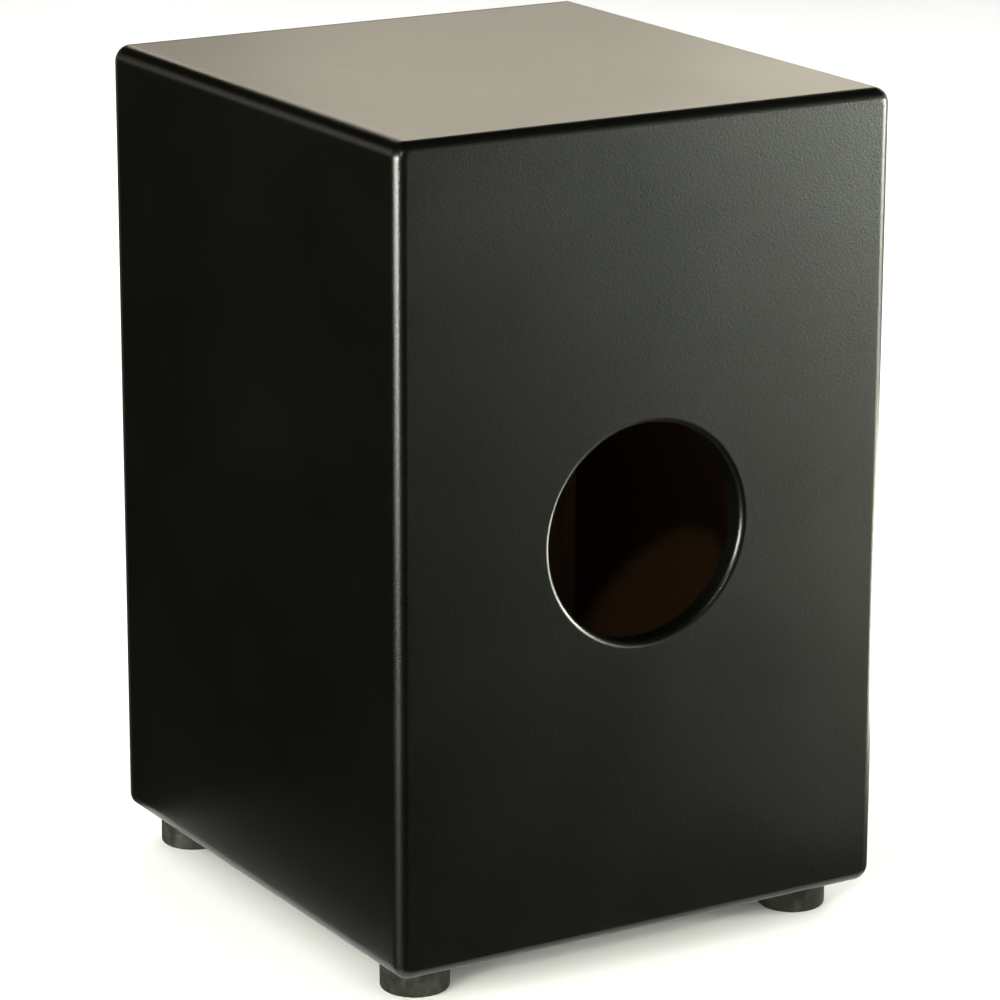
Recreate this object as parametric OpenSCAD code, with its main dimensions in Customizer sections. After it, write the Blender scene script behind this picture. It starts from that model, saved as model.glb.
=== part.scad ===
// Cajon: a box drum that the player sits on. The thin front plate faces -Y and the panel with the
// sound hole faces +Y. The origin is on the floor, under the middle of the box. Millimetres, +Z up.

/* [Body] */
// Width of the box, side to side
body_w = 305; // [290:1:320]
// Depth of the box, front plate included
body_d = 317.5; // [305:0.5:330]
// Height of the box without its feet
body_h = 451; // [430:1:480]
// Thickness of the fibreboard panels
panel_t = 12; // [11:0.5:14]
// Thickness of the plywood front plate
front_t = 3; // [2.6:0.1:3.6]
// Radius of the four outer edges that run from front to back
corner_r = 9; // [6:0.5:10]
// Radius of the back panel's outer edges
edge_r = 6.5; // [4:0.5:9]

/* [Sound hole] */
// Radius of the sound hole's throat
hole_r = 60; // [50:1:65]
// Radius of the round-over on the hole's outer rim
rim_r = 3.5; // [2:0.5:5]

/* [Battens] */
// Width and depth of the battens behind the front plate
batten_w = 18; // [17:0.5:20]
// Leg of the three-sided glue strips in the rear corners
glue_leg = 16; // [12:1:20]

/* [Front plate screws] */
// Screws up each side of the front plate
column_screws = 6; // [5:1:8]
// Screws between the corners along its top and bottom
row_screws = 3; // [3:2:5]
// Length of a front plate screw
plate_screw_l = 16; // [14:1:18]

/* [Feet] */
// Radius of a rubber foot
foot_r = 19; // [17:0.5:20]
// Height of a rubber foot
foot_h = 19; // [17:0.5:22]
// Distance from a side of the box to a foot's axis
foot_side_in = 30; // [26:0.5:34]
// Distance from the back of the box to a rear foot's axis
foot_back_in = 35.5; // [26:0.5:40]
// Distance from the front of the box to a front foot's axis
foot_front_in = 22.5; // [21.5:0.5:40]

/* [Strings] */
// Radius of a string
string_r = 0.45; // [0.3:0.05:0.5]
// Distance from the middle to a string at its upper end
string_top_x = 55; // [48:1:58]
// Distance from the middle to a string at the tension block
string_low_x = 12; // [11:0.5:13]
// Distance from the front plate's inner face to the tuning bolt's axis
bolt_in = 32; // [31:0.5:34]

/* [Hidden] */
$fn = 96;

// Heights of the box above the floor
z_bottom = foot_h;
z_top = foot_h + body_h;
z_mid = foot_h + body_h / 2;
z_floor_in = z_bottom + panel_t;
z_seat_in = z_top - panel_t;

// Front to back places
y_front = -body_d / 2;
y_back = body_d / 2;
y_plate_in = y_front + front_t;
y_back_in = y_back - panel_t;
y_batten_in = y_plate_in + batten_w;
x_side_in = body_w / 2 - panel_t;

// How far a cutting shape runs past the face it cuts
over = 1;

// Front plate screws, on the middle lines of the battens, with their places as [x, z]
screw_x = x_side_in - batten_w / 2;
screw_low_z = z_floor_in + batten_w / 2;
screw_high_z = z_seat_in - batten_w / 2;
column_step = (screw_high_z - screw_low_z) / (column_screws - 1);
row_step = 2 * screw_x / (row_screws + 1);
plate_screw_places = concat(
    [for (sx = [-1, 1], i = [0 : column_screws - 1]) [sx * screw_x, screw_low_z + i * column_step]],
    [for (z = [screw_low_z, screw_high_z], i = [1 : row_screws]) [-screw_x + i * row_step, z]]);
plate_shank_r = 1.75;
plate_head_r = 3.6;
plate_head_h = 1.9;
plate_head_sink = 0.1;

// Screws in general: the pointed tip, the cross recess and the rounding of a pan head
tip_l = 3;
cross_share = 1.1;
cross_w = 0.9;
cross_depth = 1.2;
pan_flat_share = 0.6;
pan_shoulder_share = 0.92;

// Feet and what holds them
foot_edge_r = 2;
foot_well_r = 8;
foot_well_h = 10;
foot_washer_r = 7.5;
foot_washer_t = 1.2;
foot_shank_r = 2.1;
foot_screw_l = 18.5;
foot_head_r = 4.2;
foot_head_h = 2.8;
foot_hole_h = foot_well_h - foot_washer_t + foot_screw_l - foot_h;
foot_places = [for (x = [-1, 1], back = [false, true])
    [x * (body_w / 2 - foot_side_in), back ? y_back - foot_back_in : y_front + foot_front_in]];

// Upper string anchor
anchor_l = 130;
anchor_d = 12;
anchor_t = 1.5;
anchor_in = 7;
anchor_y = y_plate_in + anchor_in;
anchor_hole_r = 1.1;
anchor_screw_x = 30;
anchor_screw_l = 11;
z_anchor = z_seat_in - batten_w;
ball_r = 2.2;
ball_seat = 2;
ball_well_r = 3;
ball_well_h = 7;

// Tuning bolt, its bracket and the tension block
bolt_y = y_plate_in + bolt_in;
bolt_r = 3;
run_clear = 0.05;
bolt_head_r = 5;
bolt_head_h = 6;
bolt_key_r = 2.9;
bolt_key_h = 3.2;
bolt_up = 42;
bracket_t = 2.5;
bracket_half_w = 22;
bracket_flange_h = 16;
bracket_rear = 12;
bracket_screw_x = 16;
bracket_screw_up = 9;
floor_screw_l = 10;
flange_screw_l = 12;
thrust_r = 6.5;
thrust_t = 1;
thrust_gap = 0.1;
access_r = 9.5;
block_up = 20;
block_low_z = z_floor_in + block_up;
block_h = 12;
block_half_w = 18;
block_half_d = 6;
sleeve_r = 1.5;
sleeve_flange_r = 2.6;
sleeve_flange_h = 1.6;
sleeve_over = 4;
pan_head_r = 3.2;
pan_head_h = 2.2;
small_shank_r = 1.4;

// A rectangle with rounded corners
module rounded_rect(w, h, r) {
    difference() {
        square([w, h], center = true);
        for (sx = [-1, 1], sy = [-1, 1])
            translate([sx * (w / 2 - r), sy * (h / 2 - r)])
                difference() {
                    translate([sx > 0 ? 0 : -r - over, sy > 0 ? 0 : -r - over])
                        square(r + over);
                    circle(r);
                }
    }
}

// The box seen from the front, extruded between two planes across Y
module box_section(y_from, y_to) {
    translate([0, y_to, z_mid])
        rotate([90, 0, 0])
            linear_extrude(y_to - y_from)
                rounded_rect(body_w, body_h, corner_r);
}

// The back panel seen from above, with its two outer edges rounded
module back_plan() {
    intersection() {
        translate([0, y_back - body_w / 2])
            rounded_rect(body_w, body_w, edge_r);
        translate([-body_w / 2, y_back_in])
            square([body_w, panel_t]);
    }
}

// The back panel seen from the side, with its top and bottom outer edges rounded
module back_elevation() {
    intersection() {
        translate([y_back - body_h / 2, z_mid])
            rounded_rect(body_h, body_h, edge_r);
        translate([y_back_in, z_bottom])
            square([panel_t, body_h]);
    }
}

// A cross recess cut along +Z from z = 0
module cross_recess(head_r) {
    span = head_r * cross_share;
    for (turn = [0, 90])
        rotate([0, 0, turn])
            translate([-span / 2, -cross_w / 2, -over])
                cube([span, cross_w, over + cross_depth]);
}

// A countersunk front plate screw driven along +Z, with its head just under z = 0
module countersunk_screw() {
    difference() {
        rotate_extrude()
            polygon([[0, plate_head_sink], [plate_head_r - plate_head_sink, plate_head_sink],
                     [plate_shank_r, plate_head_h], [plate_shank_r, plate_screw_l - tip_l],
                     [0, plate_screw_l]]);
        cross_recess(plate_head_r);
    }
}

// A pan-head screw driven along +Z, with its head's seat at z = 0
module pan_screw(shank_r, head_r, head_h, length) {
    difference() {
        rotate_extrude()
            polygon([[0, -head_h], [head_r * pan_flat_share, -head_h],
                     [head_r * pan_shoulder_share, -head_h * pan_flat_share], [head_r, 0],
                     [shank_r, 0], [shank_r, length - tip_l], [0, length]]);
        translate([0, 0, -head_h])
            cross_recess(head_r);
    }
}

// The pilot holes that the front plate's screws cut in the battens
module plate_screw_holes() {
    for (place = plate_screw_places)
        translate([place[0], y_front, place[1]])
            rotate([-90, 0, 0])
                cylinder(r = plate_shank_r, h = plate_screw_l);
}

// A panel cut from the box between the front plate and the back panel
module shell_panel(low, size) {
    color([0.09, 0.09, 0.08])
        intersection() {
            box_section(y_plate_in, y_back_in);
            translate(low)
                cube(size);
        }
}

module seat_panel() {
    shell_panel([-body_w / 2, y_front, z_seat_in], [body_w, body_d, panel_t]);
}

module base_panel() {
    difference() {
        shell_panel([-body_w / 2, y_front, z_bottom], [body_w, body_d, panel_t]);
        for (place = foot_places)
            translate([place[0], place[1], z_bottom - over])
                cylinder(r = foot_shank_r, h = over + foot_hole_h);
        translate([0, bolt_y, z_bottom - over])
            cylinder(r = access_r, h = panel_t + 2 * over);
        bracket_floor_holes();
    }
}

module left_side_panel() {
    shell_panel([-body_w / 2, y_front, z_floor_in], [panel_t, body_d, body_h - 2 * panel_t]);
}

module right_side_panel() {
    shell_panel([x_side_in, y_front, z_floor_in], [panel_t, body_d, body_h - 2 * panel_t]);
}

// The sound hole's throat and the round-over of its outer rim
module sound_hole_cut() {
    translate([0, y_back, z_mid])
        rotate([90, 0, 0])
            union() {
                translate([0, 0, -over])
                    cylinder(r = hole_r, h = panel_t + 2 * over);
                rotate_extrude()
                    difference() {
                        translate([hole_r - over, -over])
                            square([over + rim_r, over + rim_r]);
                        translate([hole_r + rim_r, rim_r])
                            circle(rim_r);
                    }
            }
}

module back_panel() {
    color([0.12, 0.12, 0.11])
        difference() {
            intersection() {
                box_section(y_back_in, y_back);
                translate([0, 0, z_bottom])
                    linear_extrude(body_h)
                        back_plan();
                translate([-body_w / 2, 0, 0])
                    rotate([90, 0, 90])
                        linear_extrude(body_w)
                            back_elevation();
            }
            sound_hole_cut();
        }
}

module front_plate() {
    color([0.08, 0.08, 0.07])
        difference() {
            box_section(y_front, y_plate_in);
            for (place = plate_screw_places)
                translate([place[0], y_front, place[1]])
                    rotate([-90, 0, 0])
                        rotate_extrude()
                            polygon([[0, -over], [plate_head_r, -over], [plate_head_r, 0],
                                     [plate_shank_r, plate_head_h], [plate_shank_r, front_t + over],
                                     [0, front_t + over]]);
        }
}

module batten(low, size) {
    color([0.62, 0.48, 0.33])
        difference() {
            translate(low)
                cube(size);
            plate_screw_holes();
            children();
        }
}

module top_front_batten() {
    batten([-x_side_in, y_plate_in, z_anchor], [2 * x_side_in, batten_w, batten_w]) {
        for (sx = [-1, 1]) {
            translate([sx * string_top_x, anchor_y, z_anchor - over])
                cylinder(r = ball_well_r, h = over + ball_well_h);
            translate([sx * anchor_screw_x, anchor_y, z_anchor - anchor_t])
                cylinder(r = small_shank_r, h = anchor_screw_l);
        }
    }
}

module bottom_front_batten() {
    batten([-x_side_in, y_plate_in, z_floor_in], [2 * x_side_in, batten_w, batten_w])
        bracket_flange_holes();
}

module upright_batten(x_low) {
    batten([x_low, y_plate_in, z_floor_in + batten_w], [batten_w, batten_w, body_h - 2 * (panel_t + batten_w)]);
}

module left_front_batten() {
    upright_batten(-x_side_in);
}

module right_front_batten() {
    upright_batten(x_side_in - batten_w);
}

// A three-sided strip glued in a rear corner; side is -1 on the left and 1 on the right
module glue_strip(side) {
    corner_x = side * x_side_in;
    color([0.62, 0.48, 0.33])
        translate([0, 0, z_floor_in])
            linear_extrude(body_h - 2 * panel_t)
                polygon([[corner_x, y_back_in], [corner_x - side * glue_leg, y_back_in],
                         [corner_x, y_back_in - glue_leg]]);
}

module left_glue_strip() {
    glue_strip(-1);
}

module right_glue_strip() {
    glue_strip(1);
}

module front_plate_screws() {
    color([0.2, 0.2, 0.2])
        for (place = plate_screw_places)
            translate([place[0], y_front, place[1]])
                rotate([-90, 0, 0])
                    countersunk_screw();
}

// A rubber foot with a rounded lower edge and a well for its screw
module foot(place) {
    color([0.14, 0.14, 0.13])
        translate([place[0], place[1], 0])
            difference() {
                union() {
                    translate([0, 0, foot_edge_r])
                        cylinder(r = foot_r, h = foot_h - foot_edge_r);
                    cylinder(r = foot_r - foot_edge_r, h = foot_edge_r);
                    rotate_extrude()
                        intersection() {
                            translate([foot_r - foot_edge_r, foot_edge_r])
                                circle(foot_edge_r);
                            translate([foot_r - foot_edge_r, 0])
                                square(foot_edge_r);
                        }
                }
                translate([0, 0, -over])
                    cylinder(r = foot_well_r, h = over + foot_well_h);
                cylinder(r = foot_shank_r, h = foot_h + over);
            }
}

module front_left_foot() {
    foot(foot_places[0]);
}

module rear_left_foot() {
    foot(foot_places[1]);
}

module front_right_foot() {
    foot(foot_places[2]);
}

module rear_right_foot() {
    foot(foot_places[3]);
}

module foot_washers() {
    color([0.7, 0.7, 0.7])
        for (place = foot_places)
            translate([place[0], place[1], foot_well_h - foot_washer_t])
                difference() {
                    cylinder(r = foot_washer_r, h = foot_washer_t);
                    translate([0, 0, -over])
                        cylinder(r = foot_shank_r, h = foot_washer_t + 2 * over);
                }
}

module foot_screws() {
    color([0.7, 0.7, 0.7])
        for (place = foot_places)
            translate([place[0], place[1], foot_well_h - foot_washer_t])
                pan_screw(foot_shank_r, foot_head_r, foot_head_h, foot_screw_l);
}

module string_anchor_plate() {
    color([0.75, 0.75, 0.75])
        difference() {
            translate([-anchor_l / 2, anchor_y - anchor_d / 2, z_anchor - anchor_t])
                cube([anchor_l, anchor_d, anchor_t]);
            for (sx = [-1, 1]) {
                translate([sx * string_top_x, anchor_y, z_anchor - anchor_t - over])
                    cylinder(r = anchor_hole_r, h = anchor_t + 2 * over);
                translate([sx * anchor_screw_x, anchor_y, z_anchor - anchor_t - over])
                    cylinder(r = small_shank_r, h = anchor_t + 2 * over);
            }
        }
}

module anchor_screws() {
    color([0.75, 0.75, 0.75])
        for (sx = [-1, 1])
            translate([sx * anchor_screw_x, anchor_y, z_anchor - anchor_t])
                pan_screw(small_shank_r, pan_head_r, pan_head_h, anchor_screw_l);
}

// One string: a ball above the anchor plate, the wire, and a flanged sleeve through the tension block.
// side is -1 on the left and 1 on the right
module snare_string(side) {
    sleeve_top = block_low_z + block_h + sleeve_over;
    low = [side * string_low_x, bolt_y, sleeve_top - over];
    high = [side * string_top_x, anchor_y, z_anchor + ball_seat];
    run = high - low;
    lean = atan2(sqrt(run[0] * run[0] + run[1] * run[1]), run[2]);
    color([0.8, 0.78, 0.72])
        union() {
            translate(low)
                rotate([0, lean, atan2(run[1], run[0])])
                    cylinder(r = string_r, h = norm(run));
            translate(high)
                sphere(r = ball_r);
            translate([low[0], low[1], block_low_z - sleeve_flange_h])
                cylinder(r = sleeve_r, h = sleeve_top - block_low_z + sleeve_flange_h);
            translate([low[0], low[1], block_low_z - sleeve_flange_h])
                cylinder(r = sleeve_flange_r, h = sleeve_flange_h - run_clear);
        }
}

module left_string() {
    snare_string(-1);
}

module right_string() {
    snare_string(1);
}

// Holes for the screws that go down through the bracket's foot into the base panel
module bracket_floor_holes() {
    for (sx = [-1, 1])
        translate([sx * bracket_screw_x, bolt_y, z_floor_in + bracket_t + over])
            rotate([180, 0, 0])
                cylinder(r = small_shank_r, h = over + floor_screw_l);
}

// Holes for the screws that go forward through the bracket's flange into the bottom batten
module bracket_flange_holes() {
    for (sx = [-1, 1])
        translate([sx * bracket_screw_x, y_batten_in + bracket_t + over, z_floor_in + bracket_screw_up])
            rotate([90, 0, 0])
                cylinder(r = small_shank_r, h = over + flange_screw_l);
}

module tuning_bracket() {
    color([0.75, 0.75, 0.75])
        difference() {
            translate([-bracket_half_w, y_batten_in, z_floor_in])
                union() {
                    cube([2 * bracket_half_w, bolt_y + bracket_rear - y_batten_in, bracket_t]);
                    cube([2 * bracket_half_w, bracket_t, bracket_flange_h]);
                }
            translate([0, bolt_y, z_floor_in - over])
                cylinder(r = bolt_r + run_clear, h = bracket_t + 2 * over);
            bracket_floor_holes();
            bracket_flange_holes();
        }
}

module bracket_screws() {
    color([0.75, 0.75, 0.75])
        for (sx = [-1, 1]) {
            translate([sx * bracket_screw_x, bolt_y, z_floor_in + bracket_t])
                rotate([180, 0, 0])
                    pan_screw(small_shank_r, pan_head_r, pan_head_h, floor_screw_l);
            translate([sx * bracket_screw_x, y_batten_in + bracket_t, z_floor_in + bracket_screw_up])
                rotate([90, 0, 0])
                    pan_screw(small_shank_r, pan_head_r, pan_head_h, flange_screw_l);
        }
}

// The bolt's head sits in the base panel's access hole, where a hex key reaches it from below
module tuning_bolt() {
    head_top = z_floor_in - thrust_t - 2 * thrust_gap;
    color([0.7, 0.7, 0.72])
        translate([0, bolt_y, head_top])
            difference() {
                union() {
                    translate([0, 0, -bolt_head_h])
                        cylinder(r = bolt_head_r, h = bolt_head_h);
                    cylinder(r = bolt_r, h = z_floor_in + bolt_up - head_top);
                }
                translate([0, 0, -bolt_head_h - over])
                    linear_extrude(over + bolt_key_h)
                        circle(bolt_key_r, $fn = 6);
            }
}

module thrust_washer() {
    color([0.7, 0.7, 0.72])
        translate([0, bolt_y, z_floor_in - thrust_t - thrust_gap])
            difference() {
                cylinder(r = thrust_r, h = thrust_t);
                translate([0, 0, -over])
                    cylinder(r = bolt_r + run_clear, h = thrust_t + 2 * over);
            }
}

module tension_block() {
    color([0.78, 0.62, 0.3])
        difference() {
            translate([-block_half_w, bolt_y - block_half_d, block_low_z])
                cube([2 * block_half_w, 2 * block_half_d, block_h]);
            translate([0, bolt_y, block_low_z - over])
                cylinder(r = bolt_r + run_clear, h = block_h + 2 * over);
            for (sx = [-1, 1])
                translate([sx * string_low_x, bolt_y, block_low_z - over])
                    cylinder(r = sleeve_r + run_clear, h = block_h + 2 * over);
        }
}

seat_panel();
base_panel();
left_side_panel();
right_side_panel();
back_panel();
front_plate();
top_front_batten();
bottom_front_batten();
left_front_batten();
right_front_batten();
left_glue_strip();
right_glue_strip();
front_plate_screws();
front_left_foot();
front_right_foot();
rear_left_foot();
rear_right_foot();
foot_washers();
foot_screws();
string_anchor_plate();
anchor_screws();
left_string();
right_string();
tuning_bracket();
bracket_screws();
tuning_bolt();
thrust_washer();
tension_block();
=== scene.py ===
import math

import bmesh
import bpy
from mathutils import Matrix, Vector


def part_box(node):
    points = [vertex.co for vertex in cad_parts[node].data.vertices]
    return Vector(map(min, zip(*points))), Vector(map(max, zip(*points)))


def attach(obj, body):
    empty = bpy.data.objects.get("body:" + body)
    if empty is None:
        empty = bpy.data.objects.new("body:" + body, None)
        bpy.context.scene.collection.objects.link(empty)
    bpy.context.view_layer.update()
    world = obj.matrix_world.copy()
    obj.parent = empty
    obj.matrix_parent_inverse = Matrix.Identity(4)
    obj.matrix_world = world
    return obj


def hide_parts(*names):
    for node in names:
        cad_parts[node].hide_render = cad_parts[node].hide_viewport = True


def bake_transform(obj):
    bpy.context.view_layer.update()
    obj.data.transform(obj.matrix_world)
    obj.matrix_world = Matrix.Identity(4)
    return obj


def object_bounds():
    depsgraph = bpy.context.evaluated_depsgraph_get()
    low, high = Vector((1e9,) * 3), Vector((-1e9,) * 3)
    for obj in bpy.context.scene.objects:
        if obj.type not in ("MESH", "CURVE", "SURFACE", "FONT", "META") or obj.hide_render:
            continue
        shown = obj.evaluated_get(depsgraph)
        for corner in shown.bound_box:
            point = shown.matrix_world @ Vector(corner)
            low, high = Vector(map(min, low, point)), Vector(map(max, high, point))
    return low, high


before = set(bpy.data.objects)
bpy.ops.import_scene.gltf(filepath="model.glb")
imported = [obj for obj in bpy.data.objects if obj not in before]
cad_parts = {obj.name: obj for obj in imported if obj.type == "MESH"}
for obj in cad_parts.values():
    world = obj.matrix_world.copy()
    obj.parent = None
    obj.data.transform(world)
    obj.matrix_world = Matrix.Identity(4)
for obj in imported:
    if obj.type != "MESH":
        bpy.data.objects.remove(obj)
CAD_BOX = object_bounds()
BODY = "cabinet"

# ---------------------------------------------------------------- sizes in metres, from the frame
LOW, HIGH = CAD_BOX
SEAT_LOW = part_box("seat_panel")[0].z
BASE_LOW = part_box("base_panel")[0].z
BASE_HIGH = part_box("base_panel")[1].z
BACK_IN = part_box("back_panel")[0].y
PLATE_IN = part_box("front_plate")[1].y
SIDE_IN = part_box("right_side_panel")[0].x
HALF_W = HIGH.x
MIDDLE_Z = (BASE_LOW + HIGH.z) / 2

# ---------------------------------------------------------------- sizes in metres, of rounded edges and holes
CORNER_R = 0.009
EDGE_R = 0.0065
HOLE_R = 0.060
RIM_R = 0.0035
HOLE_ARRIS = 0.0008
ACCESS_R = 0.0095
PLATE_EASE = 0.0005
PLY_PAIR = 0.0015
SCREW_HEAD_R = 0.0037
SCREW_HEAD_DEEP = 0.0019
SCREW_BORE_R = 0.0018
WELD = 0.00001

# ---------------------------------------------------------------- steps round each curve
ARC_STEPS = 10
EASE_STEPS = 3
HOLE_STEPS = 160
BORE_STEPS = 48
SCREW_STEPS = 24
FOOT_STEPS = 96
TREAD_STEPS = 8
SHARP_DEGREES = 35

# The middle of a noise, where most of it lies, and how squarely a face looks along a direction
NOISE_LOW, NOISE_HIGH = 0.3, 0.7
SQUARE_ON = 0.9


# ---------------------------------------------------------------- material helpers
class Nodes:
    """A short way to build one node material."""

    def __init__(self, name):
        self.material = bpy.data.materials.new(name)
        self.material.use_nodes = True
        self.tree = self.material.node_tree
        self.shader = self.tree.nodes["Principled BSDF"]
        self.place = self.add("ShaderNodeTexCoord").outputs["Object"]

    def add(self, kind, **values):
        """A new node with its options set."""
        node = self.tree.nodes.new(kind)
        for key, value in values.items():
            setattr(node, key, value)
        return node

    def link(self, source, target):
        """Joins an output to an input."""
        self.tree.links.new(source, target)

    def feed(self, socket, value):
        """Puts a number, a colour or another node's output into an input."""
        if isinstance(value, (int, float)):
            socket.default_value = value
        elif isinstance(value, tuple):
            socket.default_value = (*value, 1)
        else:
            self.link(value, socket)

    def stretch(self, scale):
        """The object's own coordinates, scaled along each axis."""
        mapping = self.add("ShaderNodeMapping")
        mapping.inputs["Scale"].default_value = scale
        self.link(self.place, mapping.inputs["Vector"])
        return mapping.outputs["Vector"]

    def noise(self, scale, detail=4.0, rough=0.55, vector=None, distortion=0.0):
        """Cloudy noise, most of which lies between NOISE_LOW and NOISE_HIGH."""
        node = self.add("ShaderNodeTexNoise")
        node.inputs["Scale"].default_value = scale
        node.inputs["Detail"].default_value = detail
        node.inputs["Roughness"].default_value = rough
        node.inputs["Distortion"].default_value = distortion
        self.link(vector or self.place, node.inputs["Vector"])
        return node.outputs["Fac"]

    def cells(self, scale):
        """Distance from the middle of the nearest of many small cells."""
        node = self.add("ShaderNodeTexVoronoi")
        node.inputs["Scale"].default_value = scale
        self.link(self.place, node.inputs["Vector"])
        return node.outputs["Distance"]

    def span(self, value, low, high, to_low, to_high):
        """A value moved from one range to another."""
        node = self.add("ShaderNodeMapRange")
        for key, number in zip(("From Min", "From Max", "To Min", "To Max"), (low, high, to_low, to_high)):
            node.inputs[key].default_value = number
        self.link(value, node.inputs["Value"])
        return node.outputs["Result"]

    def spread(self, noise, low, high):
        """The middle of a noise, spread over a range."""
        return self.span(noise, NOISE_LOW, NOISE_HIGH, low, high)

    def ramp(self, value, stops):
        """Colours at positions along a value."""
        node = self.add("ShaderNodeValToRGB")
        ramp = node.color_ramp
        while len(ramp.elements) < len(stops):
            ramp.elements.new(0.5)
        for element, (position, colour) in zip(ramp.elements, stops):
            element.position = position
            element.color = (*colour, 1)
        self.link(value, node.inputs["Fac"])
        return node.outputs["Color"]

    def tones(self, noise, first, second):
        """Two colours over the middle of a noise."""
        return self.ramp(noise, [(NOISE_LOW, first), (NOISE_HIGH, second)])

    def math(self, operation, first, second=0.0):
        """One sum on two values."""
        node = self.add("ShaderNodeMath", operation=operation)
        self.feed(node.inputs[0], first)
        self.feed(node.inputs[1], second)
        return node.outputs["Value"]

    def mix(self, factor, first, second):
        """Two colours mixed by a factor."""
        node = self.add("ShaderNodeMix", data_type="RGBA")
        self.link(factor, node.inputs[0])
        self.feed(node.inputs[6], first)
        self.feed(node.inputs[7], second)
        return node.outputs[2]

    def bump(self, height, depth, strength=1.0, after=None):
        """Relief from a height, on top of another relief where there is one."""
        node = self.add("ShaderNodeBump")
        node.inputs["Strength"].default_value = strength
        node.inputs["Distance"].default_value = depth
        self.link(height, node.inputs["Height"])
        if after is not None:
            self.link(after, node.inputs["Normal"])
        return node.outputs["Normal"]

    def set(self, **sockets):
        """Fills the shader's inputs and hands back the finished material."""
        names = {"colour": "Base Color", "rough": "Roughness", "metal": "Metallic", "normal": "Normal",
                 "ior": "IOR", "level": "Specular IOR Level"}
        for key, value in sockets.items():
            self.feed(self.shader.inputs[names[key]], value)
        return self.material


# ---------------------------------------------------------------- materials
def black_lacquer():
    """Satin black spray lacquer: orange peel, faint dust and a slow drift in its gloss."""
    m = Nodes("black_lacquer")
    cloud = m.noise(9, 3)
    peel = m.noise(420, 3, 0.6)
    grit = m.noise(1100, 2, 0.5)
    speck = m.span(m.noise(900, 2, 0.7), 0.70, 0.76, 0, 1)
    colour = m.tones(cloud, (0.0006, 0.0006, 0.0003), (0.0013, 0.0013, 0.0007))
    colour = m.mix(speck, colour, (0.010, 0.010, 0.008))
    rough = m.math("ADD", m.spread(cloud, 0.285, 0.31), m.spread(grit, -0.02, 0.02))
    normal = m.bump(grit, 0.00014, 0.6, m.bump(peel, 0.00005, 0.4))
    return m.set(colour=colour, rough=rough, normal=normal, ior=1.5)


def raw_board():
    """Bare fibreboard: matted brown fibres and darker flecks."""
    m = Nodes("raw_board")
    fibre = m.noise(520, 6, 0.7, distortion=0.4)
    fleck = m.cells(700)
    cloud = m.noise(14, 3)
    browns = [(0.30, (0.055, 0.027, 0.009)), (0.55, (0.095, 0.050, 0.018)), (0.75, (0.15, 0.085, 0.036))]
    colour = m.ramp(fibre, browns)
    colour = m.mix(m.span(fleck, 0.05, 0.22, 0.7, 0), colour, (0.022, 0.011, 0.004))
    colour = m.mix(m.span(cloud, 0.35, 0.7, 0, 0.35), colour, (0.070, 0.036, 0.0125))
    rough = m.spread(fibre, 0.72, 0.92)
    return m.set(colour=colour, rough=rough, normal=m.bump(fibre, 0.0002, 0.6), level=0.3)


def stained_plywood():
    """Black-stained veneer under satin lacquer: the grain runs up the plate and its pores still show."""
    m = Nodes("stained_plywood")
    grain = m.noise(6, 6, 0.65, m.stretch((60, 60, 2.2)), distortion=1.2)
    pores = m.noise(46, 2, 0.5, m.stretch((26, 26, 1.0)))
    colour = m.ramp(grain, [(0.35, (0.0035, 0.0034, 0.0028)), (0.65, (0.0085, 0.0080, 0.0064))])
    colour = m.mix(m.span(pores, 0.60, 0.68, 0, 0.8), colour, (0.0018, 0.0017, 0.0015))
    rough = m.span(grain, 0.35, 0.65, 0.30, 0.40)
    normal = m.bump(pores, 0.00008, 0.4, m.bump(grain, 0.00010, 0.4))
    return m.set(colour=colour, rough=rough, normal=normal, ior=1.5)


def plywood_edge():
    """The plate's cut edge: thin plies in turn light and dark, under the same black stain."""
    m = Nodes("plywood_edge")
    split = m.add("ShaderNodeSeparateXYZ")
    m.link(m.place, split.inputs[0])
    ply = m.math("SINE", m.math("MULTIPLY", split.outputs["Y"], 2 * math.pi / PLY_PAIR))
    fibre = m.noise(700, 4, 0.6)
    stains = [(0.4, (0.004, 0.0039, 0.0030)), (0.6, (0.009, 0.0078, 0.0055))]
    colour = m.ramp(m.span(ply, -1, 1, 0, 1), stains)
    rough = m.spread(fibre, 0.42, 0.6)
    return m.set(colour=colour, rough=rough, normal=m.bump(fibre, 0.0001, 0.5), ior=1.5)


def batten_wood(axis):
    """Planed pine with its grain along one axis."""
    m = Nodes("batten_wood_" + axis)
    along_grain = {"x": (1.5, 26, 26), "z": (26, 26, 1.5)}[axis]
    along_rings = {"x": (0.06, 1, 1), "z": (1, 1, 0.06)}[axis]
    grain = m.noise(5, 5, 0.6, m.stretch(along_grain), distortion=0.8)
    rings = m.add("ShaderNodeTexWave", wave_type="RINGS", rings_direction=axis.upper())
    rings.inputs["Scale"].default_value = 160
    rings.inputs["Distortion"].default_value = 6
    rings.inputs["Detail"].default_value = 3
    m.link(m.stretch(along_rings), rings.inputs["Vector"])
    colour = m.tones(grain, (0.15, 0.080, 0.033), (0.24, 0.14, 0.063))
    colour = m.mix(m.span(rings.outputs["Fac"], 0.3, 1.0, 0, 0.45), colour, (0.115, 0.058, 0.022))
    rough = m.spread(grain, 0.55, 0.75)
    return m.set(colour=colour, rough=rough, normal=m.bump(grain, 0.00015, 0.5), level=0.35)


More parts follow.
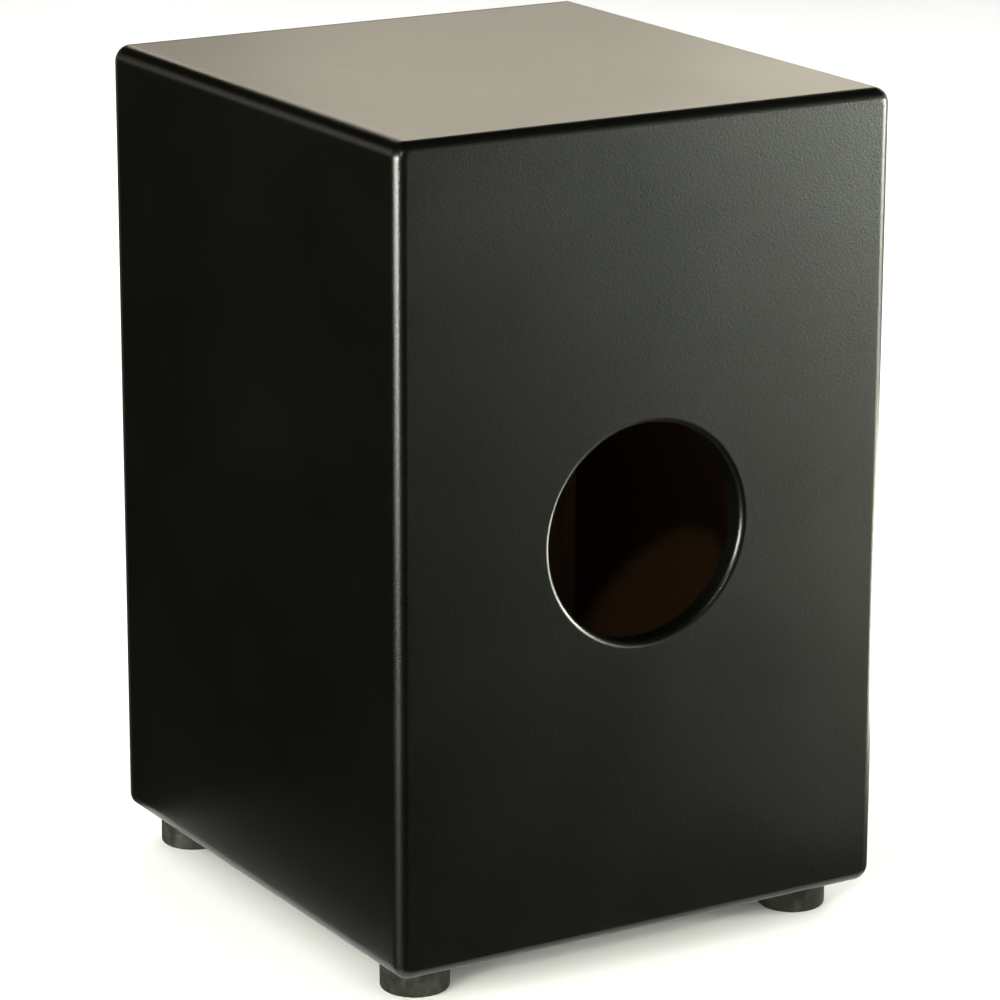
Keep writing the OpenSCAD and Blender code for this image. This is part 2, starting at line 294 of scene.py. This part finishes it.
def foot_rubber():
    """Moulded black rubber with a dusty grey bloom and rubbed patches."""
    m = Nodes("foot_rubber")
    cloud = m.noise(55, 5, 0.65)
    fine = m.noise(700, 4, 0.7)
    rubbed = m.noise(9, 4, 0.6, m.stretch((12, 12, 6)))
    greys = [(0.32, (0.004, 0.004, 0.0032)), (0.55, (0.011, 0.011, 0.009)), (0.75, (0.032, 0.031, 0.025))]
    colour = m.ramp(cloud, greys)
    colour = m.mix(m.span(rubbed, 0.48, 0.68, 0, 0.7), colour, (0.038, 0.037, 0.031))
    rough = m.spread(cloud, 0.52, 0.78)
    normal = m.bump(fine, 0.00012, 0.5, m.bump(cloud, 0.0004, 0.25))
    return m.set(colour=colour, rough=rough, normal=normal, level=0.10)


def metal(name, low, high, rough_low, rough_high):
    """Plated or drawn metal: a fine brushed grain with cloudy tarnish."""
    m = Nodes(name)
    cloud = m.noise(90, 4, 0.6)
    brush = m.noise(600, 3, 0.6, m.stretch((1, 1, 0.12)))
    rough = m.math("ADD", m.spread(cloud, rough_low, rough_high), m.spread(brush, -0.04, 0.04))
    return m.set(colour=m.tones(cloud, low, high), rough=rough, metal=1.0, normal=m.bump(brush, 0.00003, 0.4))


def string_wire():
    """Wound steel string: the winding's turns stand out as fine ribs."""
    m = Nodes("string_wire")
    turns = m.add("ShaderNodeTexWave", bands_direction="Z")
    turns.inputs["Scale"].default_value = 260
    m.link(m.place, turns.inputs["Vector"])
    colour = m.tones(m.noise(120), (0.42, 0.40, 0.36), (0.62, 0.60, 0.55))
    rough = m.span(turns.outputs["Fac"], 0, 1, 0.25, 0.42)
    return m.set(colour=colour, rough=rough, metal=1.0, normal=m.bump(turns.outputs["Fac"], 0.0001, 0.8))


def floor_paper():
    """Matt white paper with a faint drift in its tone."""
    m = Nodes("floor_paper")
    tone = m.tones(m.noise(3, 3), (0.90, 0.90, 0.895), (0.92, 0.92, 0.915))
    return m.set(colour=tone, rough=m.spread(m.noise(60), 0.85, 0.95), level=0.1)


LACQUER = black_lacquer()
BOARD = raw_board()
STAIN = stained_plywood()
PLY_EDGE = plywood_edge()
PINE_X = batten_wood("x")
PINE_Z = batten_wood("z")
RUBBER = foot_rubber()
ZINC = metal("zinc_steel", (0.50, 0.50, 0.48), (0.66, 0.66, 0.64), 0.28, 0.42)
BLACK_SCREW = metal("black_screw", (0.018, 0.018, 0.018), (0.04, 0.04, 0.038), 0.34, 0.5)
BOLT = metal("bolt_steel", (0.28, 0.28, 0.29), (0.42, 0.42, 0.43), 0.25, 0.38)
BRASS = metal("brass_block", (0.50, 0.35, 0.13), (0.68, 0.50, 0.22), 0.26, 0.4)
WIRE = string_wire()
PAPER = floor_paper()
PANEL_MATERIALS = [LACQUER, BOARD]
PLATE_MATERIALS = [STAIN, PLY_EDGE, BOARD]


# ---------------------------------------------------------------- mesh helpers
def finish_piece(name, mesh, materials, node):
    """Puts a finished mesh in the scene in place of a CAD node."""
    mesh.normal_update()
    for edge in mesh.edges:
        edge.smooth = len(edge.link_faces) == 2 and edge.calc_face_angle(0) < math.radians(SHARP_DEGREES)
    for face in mesh.faces:
        face.smooth = True
    data = bpy.data.meshes.new(name)
    mesh.to_mesh(data)
    mesh.free()
    for material in materials:
        data.materials.append(material)
    piece = bpy.data.objects.new(name, data)
    bpy.context.scene.collection.objects.link(piece)
    weighted = piece.modifiers.new("even_shading", "WEIGHTED_NORMAL")
    weighted.keep_sharp = True
    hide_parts(node)
    return piece


def cabinet_piece(name, mesh, materials, node):
    """A finished piece that is fixed to the cabinet."""
    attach(finish_piece(name, mesh, materials, node), BODY)


def node_mesh(node):
    """A welded copy of a CAD node's mesh."""
    mesh = bmesh.new()
    mesh.from_mesh(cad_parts[node].data)
    bmesh.ops.remove_doubles(mesh, verts=mesh.verts, dist=WELD)
    return mesh


def arc(centre, radius, start, end, steps):
    """Points along an arc in a plane, with angles in degrees."""
    turns = [math.radians(start + (end - start) * i / steps) for i in range(steps + 1)]
    return [(centre[0] + radius * math.cos(a), centre[1] + radius * math.sin(a)) for a in turns]


def circle(centre, radius, steps):
    """Points all the way round a circle in a plane."""
    return arc(centre, radius, 0, 360, steps)[:-1]


def quarter_round(radius, steps):
    """How far a rounded edge has come in from the side, and how far it still is from the face."""
    turns = [math.radians(90 * i / steps) for i in range(steps + 1)]
    return [(radius * (1 - math.cos(a)), radius * (1 - math.sin(a))) for a in turns]


def level_ring(mesh, centre, radius, z, steps):
    """A level ring of vertices."""
    return [mesh.verts.new((x, y, z)) for x, y in circle(centre, radius, steps)]


def upright_ring(mesh, centre, radius, y, steps):
    """An upright ring of vertices that faces the front and the back."""
    return [mesh.verts.new((x, y, z)) for x, z in circle(centre, radius, steps)]


def join_rings(mesh, first, second):
    """A band of faces between two rings of as many vertices."""
    count = len(first)
    return [mesh.faces.new((first[i], first[(i + 1) % count], second[(i + 1) % count], second[i]))
            for i in range(count)]


def join_all(mesh, rings):
    """Bands of faces from each ring to the next."""
    made = []
    for first, second in zip(rings, rings[1:]):
        made += join_rings(mesh, first, second)
    return made


def fill_between(mesh, outer, *holes):
    """Fills the flat face between an outline and its holes."""
    pairs = [(ring[i], ring[(i + 1) % len(ring)]) for ring in (outer, *holes) for i in range(len(ring))]
    edges = [mesh.edges.get(pair) or mesh.edges.new(pair) for pair in pairs]
    made = bmesh.ops.triangle_fill(mesh, edges=edges, use_beauty=True, use_dissolve=False)
    return [item for item in made["geom"] if isinstance(item, bmesh.types.BMFace)]


def extruded(outline, y_from, y_to):
    """A prism across Y from an outline of (x, z) points."""
    mesh = bmesh.new()
    front = [mesh.verts.new((x, y_from, z)) for x, z in outline]
    rear = [mesh.verts.new((x, y_to, z)) for x, z in outline]
    join_rings(mesh, front, rear)
    mesh.faces.new(front[::-1])
    mesh.faces.new(rear)
    bmesh.ops.recalc_face_normals(mesh, faces=mesh.faces)
    return mesh


def facing(mesh, direction):
    """The faces that look along a direction."""
    mesh.normal_update()
    return [face for face in mesh.faces if face.normal.dot(Vector(direction)) > SQUARE_ON]


def paint(faces, materials, material):
    """Gives faces one of their piece's materials."""
    for face in faces:
        face.material_index = materials.index(material)


# ---------------------------------------------------------------- the box
def bore_upright(mesh, centre, radius):
    """Bores a hole through a panel's two widest level faces, with bare board on its wall."""
    mesh.normal_update()
    rings = []
    for up in (-1, 1):
        face = max(mesh.faces, key=lambda f: f.normal.z * up * f.calc_area())
        outline = list(face.verts)
        slot = face.material_index
        z = face.calc_center_median().z
        mesh.faces.remove(face)
        ring = level_ring(mesh, centre, radius, z, BORE_STEPS)
        for made in fill_between(mesh, outline, ring):
            made.material_index = slot
        rings.append(ring)
    paint(join_rings(mesh, *rings), PANEL_MATERIALS, BOARD)
    bmesh.ops.recalc_face_normals(mesh, faces=mesh.faces)


def seat_panel():
    """The panel that the player sits on, with its two upper edges rounded."""
    x, z = HALF_W - CORNER_R, HIGH.z - CORNER_R
    outline = [(-HALF_W, SEAT_LOW), (HALF_W, SEAT_LOW)]
    outline += arc((x, z), CORNER_R, 0, 90, ARC_STEPS) + arc((-x, z), CORNER_R, 90, 180, ARC_STEPS)
    mesh = extruded(outline, PLATE_IN, BACK_IN)
    paint(facing(mesh, (0, 0, -1)), PANEL_MATERIALS, BOARD)
    cabinet_piece("seat_panel_lacquered", mesh, PANEL_MATERIALS, "seat_panel")


def base_panel():
    """The bottom panel, with its two lower edges rounded and a hole for the tuning key."""
    x, z = HALF_W - CORNER_R, BASE_LOW + CORNER_R
    outline = [(HALF_W, BASE_HIGH), (-HALF_W, BASE_HIGH)]
    outline += arc((-x, z), CORNER_R, 180, 270, ARC_STEPS) + arc((x, z), CORNER_R, 270, 360, ARC_STEPS)
    mesh = extruded(outline, PLATE_IN, BACK_IN)
    paint(facing(mesh, (0, 0, 1)), PANEL_MATERIALS, BOARD)
    bolt_low, bolt_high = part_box("tuning_bolt")
    bore_upright(mesh, (bolt_low + bolt_high) / 2, ACCESS_R)
    cabinet_piece("base_panel_lacquered", mesh, PANEL_MATERIALS, "base_panel")


def side_panel(node, side):
    """A flat side panel, on the side of +X or -X."""
    outline = [(side * SIDE_IN, BASE_HIGH), (side * HALF_W, BASE_HIGH),
               (side * HALF_W, SEAT_LOW), (side * SIDE_IN, SEAT_LOW)]
    mesh = extruded(outline, PLATE_IN, BACK_IN)
    paint(facing(mesh, (-side, 0, 0)), PANEL_MATERIALS, BOARD)
    cabinet_piece(node + "_lacquered", mesh, PANEL_MATERIALS, node)


def rounded_ring(mesh, inset, y):
    """A ring of points that follows the box's outline, moved in from it, at one depth."""
    half_w, half_h = HALF_W - inset, (HIGH.z - BASE_LOW) / 2 - inset
    corner = CORNER_R - inset
    ring = []
    for sx, sz, start in ((1, 1, 0), (-1, 1, 90), (-1, -1, 180), (1, -1, 270)):
        centre = (sx * (half_w - corner), MIDDLE_Z + sz * (half_h - corner))
        ring += [mesh.verts.new((x, y, z)) for x, z in arc(centre, corner, start, start + 90, ARC_STEPS)]
    return ring


def back_panel():
    """The panel with the sound hole: rounded outer edges, a rounded rim and bare board inside."""
    mesh = bmesh.new()
    middle = (0, MIDDLE_Z)
    edge = [rounded_ring(mesh, 0, BACK_IN)]
    edge += [rounded_ring(mesh, inset, HIGH.y - depth) for inset, depth in quarter_round(EDGE_R, ARC_STEPS)]
    hole = [upright_ring(mesh, middle, HOLE_R + wider, HIGH.y - depth, HOLE_STEPS)
            for depth, wider in quarter_round(RIM_R, ARC_STEPS)]
    hole.append(upright_ring(mesh, middle, HOLE_R, BACK_IN + HOLE_ARRIS, HOLE_STEPS))
    hole.append(upright_ring(mesh, middle, HOLE_R + HOLE_ARRIS, BACK_IN, HOLE_STEPS))
    join_all(mesh, edge)
    join_all(mesh, hole)
    fill_between(mesh, edge[-1], hole[0])
    inside = fill_between(mesh, edge[0], hole[-1])
    bmesh.ops.recalc_face_normals(mesh, faces=mesh.faces)
    paint(inside, PANEL_MATERIALS, BOARD)
    cabinet_piece("back_panel_lacquered", mesh, PANEL_MATERIALS, "back_panel")


def screw_places():
    """Where the front plate's screws stand, from the loose parts of their CAD node."""
    mesh = node_mesh("front_plate_screws")
    seen = set()
    places = []
    for start in mesh.verts:
        if start in seen:
            continue
        seen.add(start)
        island = []
        queue = [start]
        while queue:
            vertex = queue.pop()
            island.append(vertex.co)
            for edge in vertex.link_edges:
                other = edge.other_vert(vertex)
                if other not in seen:
                    seen.add(other)
                    queue.append(other)
        xs, zs = [co.x for co in island], [co.z for co in island]
        places.append(((min(xs) + max(xs)) / 2, (min(zs) + max(zs)) / 2))
    mesh.free()
    return places


def front_plate():
    """The thin plate that is played: eased edges, plies on its cut edge and countersunk screw holes."""
    mesh = bmesh.new()
    edge = [rounded_ring(mesh, 0, PLATE_IN)]
    edge += [rounded_ring(mesh, inset, LOW.y + depth)
             for inset, depth in quarter_round(PLATE_EASE, EASE_STEPS)]
    cut = join_all(mesh, edge)
    mouths = []
    bottoms = []
    for place in screw_places():
        mouth = upright_ring(mesh, place, SCREW_HEAD_R, LOW.y, SCREW_STEPS)
        throat = upright_ring(mesh, place, SCREW_BORE_R, LOW.y + SCREW_HEAD_DEEP, SCREW_STEPS)
        bottom = upright_ring(mesh, place, SCREW_BORE_R, PLATE_IN, SCREW_STEPS)
        join_all(mesh, [mouth, throat, bottom])
        mouths.append(mouth)
        bottoms.append(bottom)
    fill_between(mesh, edge[-1], *mouths)
    fill_between(mesh, edge[0], *bottoms)
    bmesh.ops.recalc_face_normals(mesh, faces=mesh.faces)
    paint(cut, PLATE_MATERIALS, PLY_EDGE)
    paint(facing(mesh, (0, 1, 0)), PLATE_MATERIALS, BOARD)
    cabinet_piece("front_plate_stained", mesh, PLATE_MATERIALS, "front_plate")


# ---------------------------------------------------------------- feet
# Sizes in metres. The parting line's three heights are shares of the foot's own height.
TREAD_R = 0.002
TOP_EASE = 0.0004
LINE_DEEP = 0.0002
LINE_TOP, LINE_MIDDLE, LINE_BOTTOM = 0.53, 0.515, 0.5
GROOVE = 0.0006
GROOVE_RINGS = (0.0145, 0.0115)
WELL_R = 0.008
WELL_DEEP = 0.010
WELL_LIP = 0.0005
FOOT_BORE_R = 0.0021


def lathe(profile, centre):
    """A turned piece from (radius, z) points that go all the way round its section."""
    mesh = bmesh.new()
    rings = [level_ring(mesh, centre, radius, z, FOOT_STEPS) for radius, z in profile]
    join_all(mesh, rings + rings[:1])
    bmesh.ops.recalc_face_normals(mesh, faces=mesh.faces)
    return mesh


def foot(node):
    """A moulded foot: a faint parting line, a rounded tread edge, two grip grooves and the screw's well."""
    low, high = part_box(node)
    radius = (high.x - low.x) / 2
    top = high.z
    profile = [(FOOT_BORE_R, top), (radius - TOP_EASE, top), (radius, top - TOP_EASE),
               (radius, top * LINE_TOP), (radius - LINE_DEEP, top * LINE_MIDDLE), (radius, top * LINE_BOTTOM)]
    profile += arc((radius - TREAD_R, TREAD_R), TREAD_R, 0, -90, TREAD_STEPS)
    for ring in GROOVE_RINGS:
        profile += [(ring + GROOVE, 0), (ring + GROOVE / 2, GROOVE)]
        profile += [(ring - GROOVE / 2, GROOVE), (ring - GROOVE, 0)]
    profile += [(WELL_R + WELL_LIP, 0), (WELL_R, WELL_LIP), (WELL_R, WELL_DEEP), (FOOT_BORE_R, WELL_DEEP)]
    cabinet_piece(node + "_moulded", lathe(profile, (low + high) / 2), [RUBBER], node)


# ---------------------------------------------------------------- strings
def string(node):
    """A wound string in place of its CAD node, its ball in the top batten and its placement baked into its
    mesh.
    """
    piece = finish_piece(node + "_wound", node_mesh(node), [WIRE], node)
    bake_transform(piece)


# ---------------------------------------------------------------- build
seat_panel()
base_panel()
side_panel("left_side_panel", -1)
side_panel("right_side_panel", 1)
back_panel()
front_plate()
for name in ("front_left_foot", "front_right_foot", "rear_left_foot", "rear_right_foot"):
    foot(name)
for name in ("left_string", "right_string"):
    string(name)

for name, material in {
    "top_front_batten": PINE_X, "bottom_front_batten": PINE_X, "left_front_batten": PINE_Z,
    "right_front_batten": PINE_Z, "left_glue_strip": PINE_Z, "right_glue_strip": PINE_Z,
    "front_plate_screws": BLACK_SCREW, "foot_washers": ZINC, "foot_screws": ZINC, "string_anchor_plate": ZINC,
    "anchor_screws": ZINC, "tuning_bracket": ZINC, "bracket_screws": ZINC, "tuning_bolt": BOLT,
    "thrust_washer": ZINC, "tension_block": BRASS,
}.items():
    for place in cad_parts[name].material_slots:
        place.material = material


# ---------------------------------------------------------------- studio
NEUTRAL_LAMP = (0.98, 1.0, 0.885)
COOL_LAMP = (0.93, 1.0, 0.85)
WARM_LAMP = (1.0, 0.92, 0.74)
OLIVE_LAMP = (0.94, 1.0, 0.62)
FLOOR_LAMP = (1.0, 0.99, 0.80)
FLOOR_HALF = 9.0
FLOOR_DROP = 0.0002
SHEET_HALF = 0.18
FLOOR_SQUARES = 8
NEAR, MIDDLING, FAR = 2.0, 2.2, 2.4
LAMP_Z = 0.36
BACKDROP_Z = 0.95
FLOOR_LAMP_Z = 0.002
LIGHTS_AIM = (0, 0, 0.30)
ROOM_LIGHT = 1.0
ROOM_SHINE = 0.008
SHINE_TINT = (1, 0.98, 0.93, 1)
BEAM_R = 0.064
BEAM_BLEND = 0.5
BEAM_SOFTNESS = 0.45


def pale_floor(name, half, height, seen_in_gloss):
    """A square of white paper, seen in the lacquer's reflections or not."""
    mesh = bmesh.new()
    bmesh.ops.create_grid(mesh, x_segments=FLOOR_SQUARES, y_segments=FLOOR_SQUARES, size=half)
    data = bpy.data.meshes.new(name)
    mesh.to_mesh(data)
    mesh.free()
    data.materials.append(PAPER)
    floor = bpy.data.objects.new(name, data)
    floor.location.z = height
    floor.visible_glossy = seen_in_gloss
    bpy.context.scene.collection.objects.link(floor)


def aimed_light(name, kind, place, target, power, colour):
    """A light at a place, turned to face a target and itself out of sight."""
    data = bpy.data.lights.new(name, kind)
    data.energy = power
    data.color = colour
    light = bpy.data.objects.new(name, data)
    light.location = place
    light.rotation_euler = (Vector(target) - Vector(place)).to_track_quat("-Z", "Y").to_euler()
    light.visible_camera = False
    bpy.context.scene.collection.objects.link(light)
    return data


def panel_light(name, place, target, size, power, colour):
    """A rectangular light."""
    data = aimed_light(name, "AREA", place, target, power, colour)
    data.shape = "RECTANGLE"
    data.size, data.size_y = size


def around(bearing, distance, height):
    """A place round the object: bearing 0 is +X and 90 is +Y, in degrees."""
    return (distance * math.cos(math.radians(bearing)), distance * math.sin(math.radians(bearing)), height)


def softbox(name, bearing, distance, height, size, power, colour=NEUTRAL_LAMP):
    """A softbox that stands round the object and faces it."""
    panel_light(name, around(bearing, distance, height), LIGHTS_AIM, size, power, colour)


def floor_light(name, x, y, size, power):
    """The glow of the lit floor beside the object, as the lacquer reflects it."""
    panel_light(name, (x, y, FLOOR_LAMP_Z), (x, y, 1), size, power, FLOOR_LAMP)


def spot(name, place, target, power):
    """A narrow, soft-edged spot whose beam has the radius BEAM_R at its target."""
    data = aimed_light(name, "SPOT", place, target, power, WARM_LAMP)
    data.spot_size = 2 * math.atan(BEAM_R / (Vector(target) - Vector(place)).length)
    data.spot_blend = BEAM_BLEND
    data.shadow_soft_size = BEAM_SOFTNESS


def room():
    """White light from all round, of which the lacquer reflects only a little."""
    world = bpy.data.worlds.new("studio")
    world.use_nodes = True
    bpy.context.scene.world = world
    tree = world.node_tree
    bright = tree.nodes["Background"]
    bright.inputs["Color"].default_value = (1, 1, 1, 1)
    bright.inputs["Strength"].default_value = ROOM_LIGHT
    dim = tree.nodes.new("ShaderNodeBackground")
    dim.inputs["Color"].default_value = SHINE_TINT
    dim.inputs["Strength"].default_value = ROOM_SHINE
    path = tree.nodes.new("ShaderNodeLightPath")
    choose = tree.nodes.new("ShaderNodeMixShader")
    tree.links.new(path.outputs["Is Glossy Ray"], choose.inputs["Fac"])
    tree.links.new(bright.outputs[0], choose.inputs[1])
    tree.links.new(dim.outputs[0], choose.inputs[2])
    tree.links.new(choose.outputs[0], tree.nodes["World Output"].inputs["Surface"])


pale_floor("floor", FLOOR_HALF, -FLOOR_DROP, False)
pale_floor("floor_sheet", SHEET_HALF, 0.0, True)
softbox("left_softbox", 20, NEAR, LAMP_Z, (0.6, 0.7), 38)
softbox("near_left_softbox", 30, NEAR, LAMP_Z, (0.5, 0.7), 32)
softbox("far_left_softbox", 4, NEAR, LAMP_Z, (0.5, 0.7), 19)
softbox("right_low_softbox", 140, MIDDLING, 0.15, (0.8, 0.28), 21, COOL_LAMP)
softbox("right_edge_softbox", 156, MIDDLING, 0.30, (0.5, 0.4), 48, COOL_LAMP)
softbox("far_side_softbox", 185, MIDDLING, 0.45, (1.0, 0.8), 6)
softbox("front_softbox", 262, MIDDLING, LAMP_Z, (0.8, 0.7), 6, OLIVE_LAMP)
softbox("backdrop_low", 229, FAR, BACKDROP_Z, (1.4, 0.8), 2.2, WARM_LAMP)
softbox("backdrop_side", 222, FAR, BACKDROP_Z, (1.0, 0.8), 1.8, WARM_LAMP)
softbox("backdrop_top", 225, FAR, 1.40, (3.0, 0.6), 16.8, WARM_LAMP)
floor_light("floor_glow", -0.75, 0.1, (0.5, 0.8), 30)
floor_light("floor_patch", -0.29, 0.34, (0.22, 0.18), 0.055)
softbox("front_backdrop", 315, FAR, BACKDROP_Z, (1.6, 0.8), 3, WARM_LAMP)
softbox("rear_backdrop", 115, FAR, BACKDROP_Z, (1.6, 0.8), 2, WARM_LAMP)
spot("hole_spot", around(59, 2.1, 1.37), (0, HIGH.y, MIDDLE_Z), 2150)
room()

# ---------------------------------------------------------------- camera
AZIMUTH, ELEVATION, ROLL = 148.993, 16.116, 0.186
DISTANCE = 2.4774
LENS = 159.14
SENSOR_WIDTH = 36
AIM = (LOW + HIGH) / 2 + Vector((-0.0014, 0.0045, -0.0107))


def photo_camera():
    """The camera at the photograph's viewing angle, aimed a little off the box's middle."""
    a, e, roll = math.radians(AZIMUTH), math.radians(ELEVATION), math.radians(ROLL)
    back = Vector((math.sin(a) * math.cos(e), -math.cos(a) * math.cos(e), math.sin(e)))
    level = Vector((math.cos(a), math.sin(a), 0))
    right = level * math.cos(roll) + back.cross(level) * math.sin(roll)
    up = back.cross(right)
    turn = Matrix((right, up, back)).transposed().to_4x4()
    camera = bpy.data.objects.new("camera", bpy.data.cameras.new("camera"))
    camera.data.lens = LENS
    camera.data.sensor_width = SENSOR_WIDTH
    camera.matrix_world = Matrix.Translation(AIM + back * DISTANCE) @ turn
    bpy.context.scene.collection.objects.link(camera)
    bpy.context.scene.camera = camera


photo_camera()
bpy.context.scene.view_settings.view_transform = "Standard"
